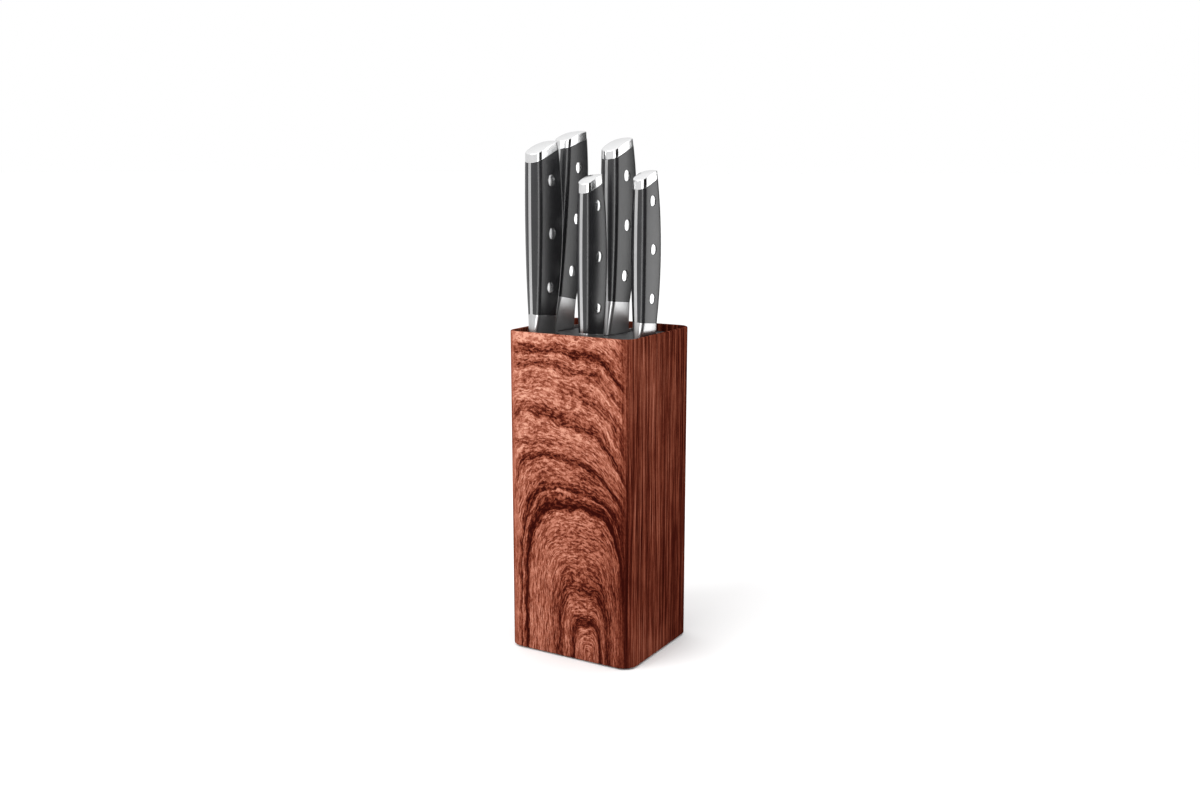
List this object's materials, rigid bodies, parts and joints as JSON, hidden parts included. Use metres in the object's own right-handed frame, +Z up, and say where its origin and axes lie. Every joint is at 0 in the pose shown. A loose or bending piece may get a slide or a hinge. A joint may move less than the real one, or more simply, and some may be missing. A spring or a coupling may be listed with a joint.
{
  "type": "knife block with knives",
  "caption": "Upright rectangular knife block with rounded corners and a slotted insert, holding full-tang riveted kitchen knives that lift out.",
  "frame": {"origin": "middle of the footprint, on the surface that the feet stand on", "axes": "+Z up; the front face looks towards -Y and the knives' spines face it; the right side is +X"},
  "size_m": [0.096, 0.086, 0.3508],
  "materials": {
    "shell_wood": "satin reddish-brown figured wood-grain surface, lengthwise grain",
    "insert_plastic": "matt charcoal moulded plastic",
    "screw_steel": "zinc-plated steel screws",
    "foot_rubber": "matt black rubber",
    "blade_steel": "satin stainless steel, polished at the bolster and on the tang's edge",
    "handle_black": "glossy black plastic scales",
    "rivet_steel": "polished steel rivets",
    "cap_steel": "polished steel butt caps"
  },
  "bodies": {
    "block": {"outer_shell": "shell_wood", "slotted_insert": "insert_plastic", "base_plate": "insert_plastic", "insert_posts": "insert_plastic", "base_screws": "screw_steel", "rubber_feet": "foot_rubber", "slicing_sleeve": "insert_plastic", "bread_sleeve": "insert_plastic", "chef_sleeve": "insert_plastic", "utility_sleeve": "insert_plastic", "paring_sleeve": "insert_plastic"},
    "slicing_knife": {"slicing_blade": "blade_steel", "slicing_left_scale": "handle_black", "slicing_right_scale": "handle_black", "slicing_rivets": "rivet_steel", "slicing_butt_cap": "cap_steel"},
    "bread_knife": {"bread_blade": "blade_steel", "bread_left_scale": "handle_black", "bread_right_scale": "handle_black", "bread_rivets": "rivet_steel", "bread_butt_cap": "cap_steel"},
    "chef_knife": {"chef_blade": "blade_steel", "chef_left_scale": "handle_black", "chef_right_scale": "handle_black", "chef_rivets": "rivet_steel", "chef_butt_cap": "cap_steel"},
    "utility_knife": {"utility_blade": "blade_steel", "utility_left_scale": "handle_black", "utility_right_scale": "handle_black", "utility_rivets": "rivet_steel", "utility_butt_cap": "cap_steel"},
    "paring_knife": {"paring_blade": "blade_steel", "paring_left_scale": "handle_black", "paring_right_scale": "handle_black", "paring_rivets": "rivet_steel", "paring_butt_cap": "cap_steel"}
  },
  "joints": [
    {"name": "slicing_lift", "type": "slide", "parent": "block", "child": "slicing_knife", "axis": [0, 0, 1], "range_m": [0, 0.215]},
    {"name": "bread_lift", "type": "slide", "parent": "block", "child": "bread_knife", "axis": [0.0089, 0.0849, 0.9963], "range_m": [0, 0.22]},
    {"name": "chef_lift", "type": "slide", "parent": "block", "child": "chef_knife", "axis": [0, 0, 1], "range_m": [0, 0.22]},
    {"name": "utility_lift", "type": "slide", "parent": "block", "child": "utility_knife", "axis": [0, 0, 1], "range_m": [0, 0.15]},
    {"name": "paring_lift", "type": "slide", "parent": "block", "child": "paring_knife", "axis": [0, 0, 1], "range_m": [0, 0.11]}
  ]
}
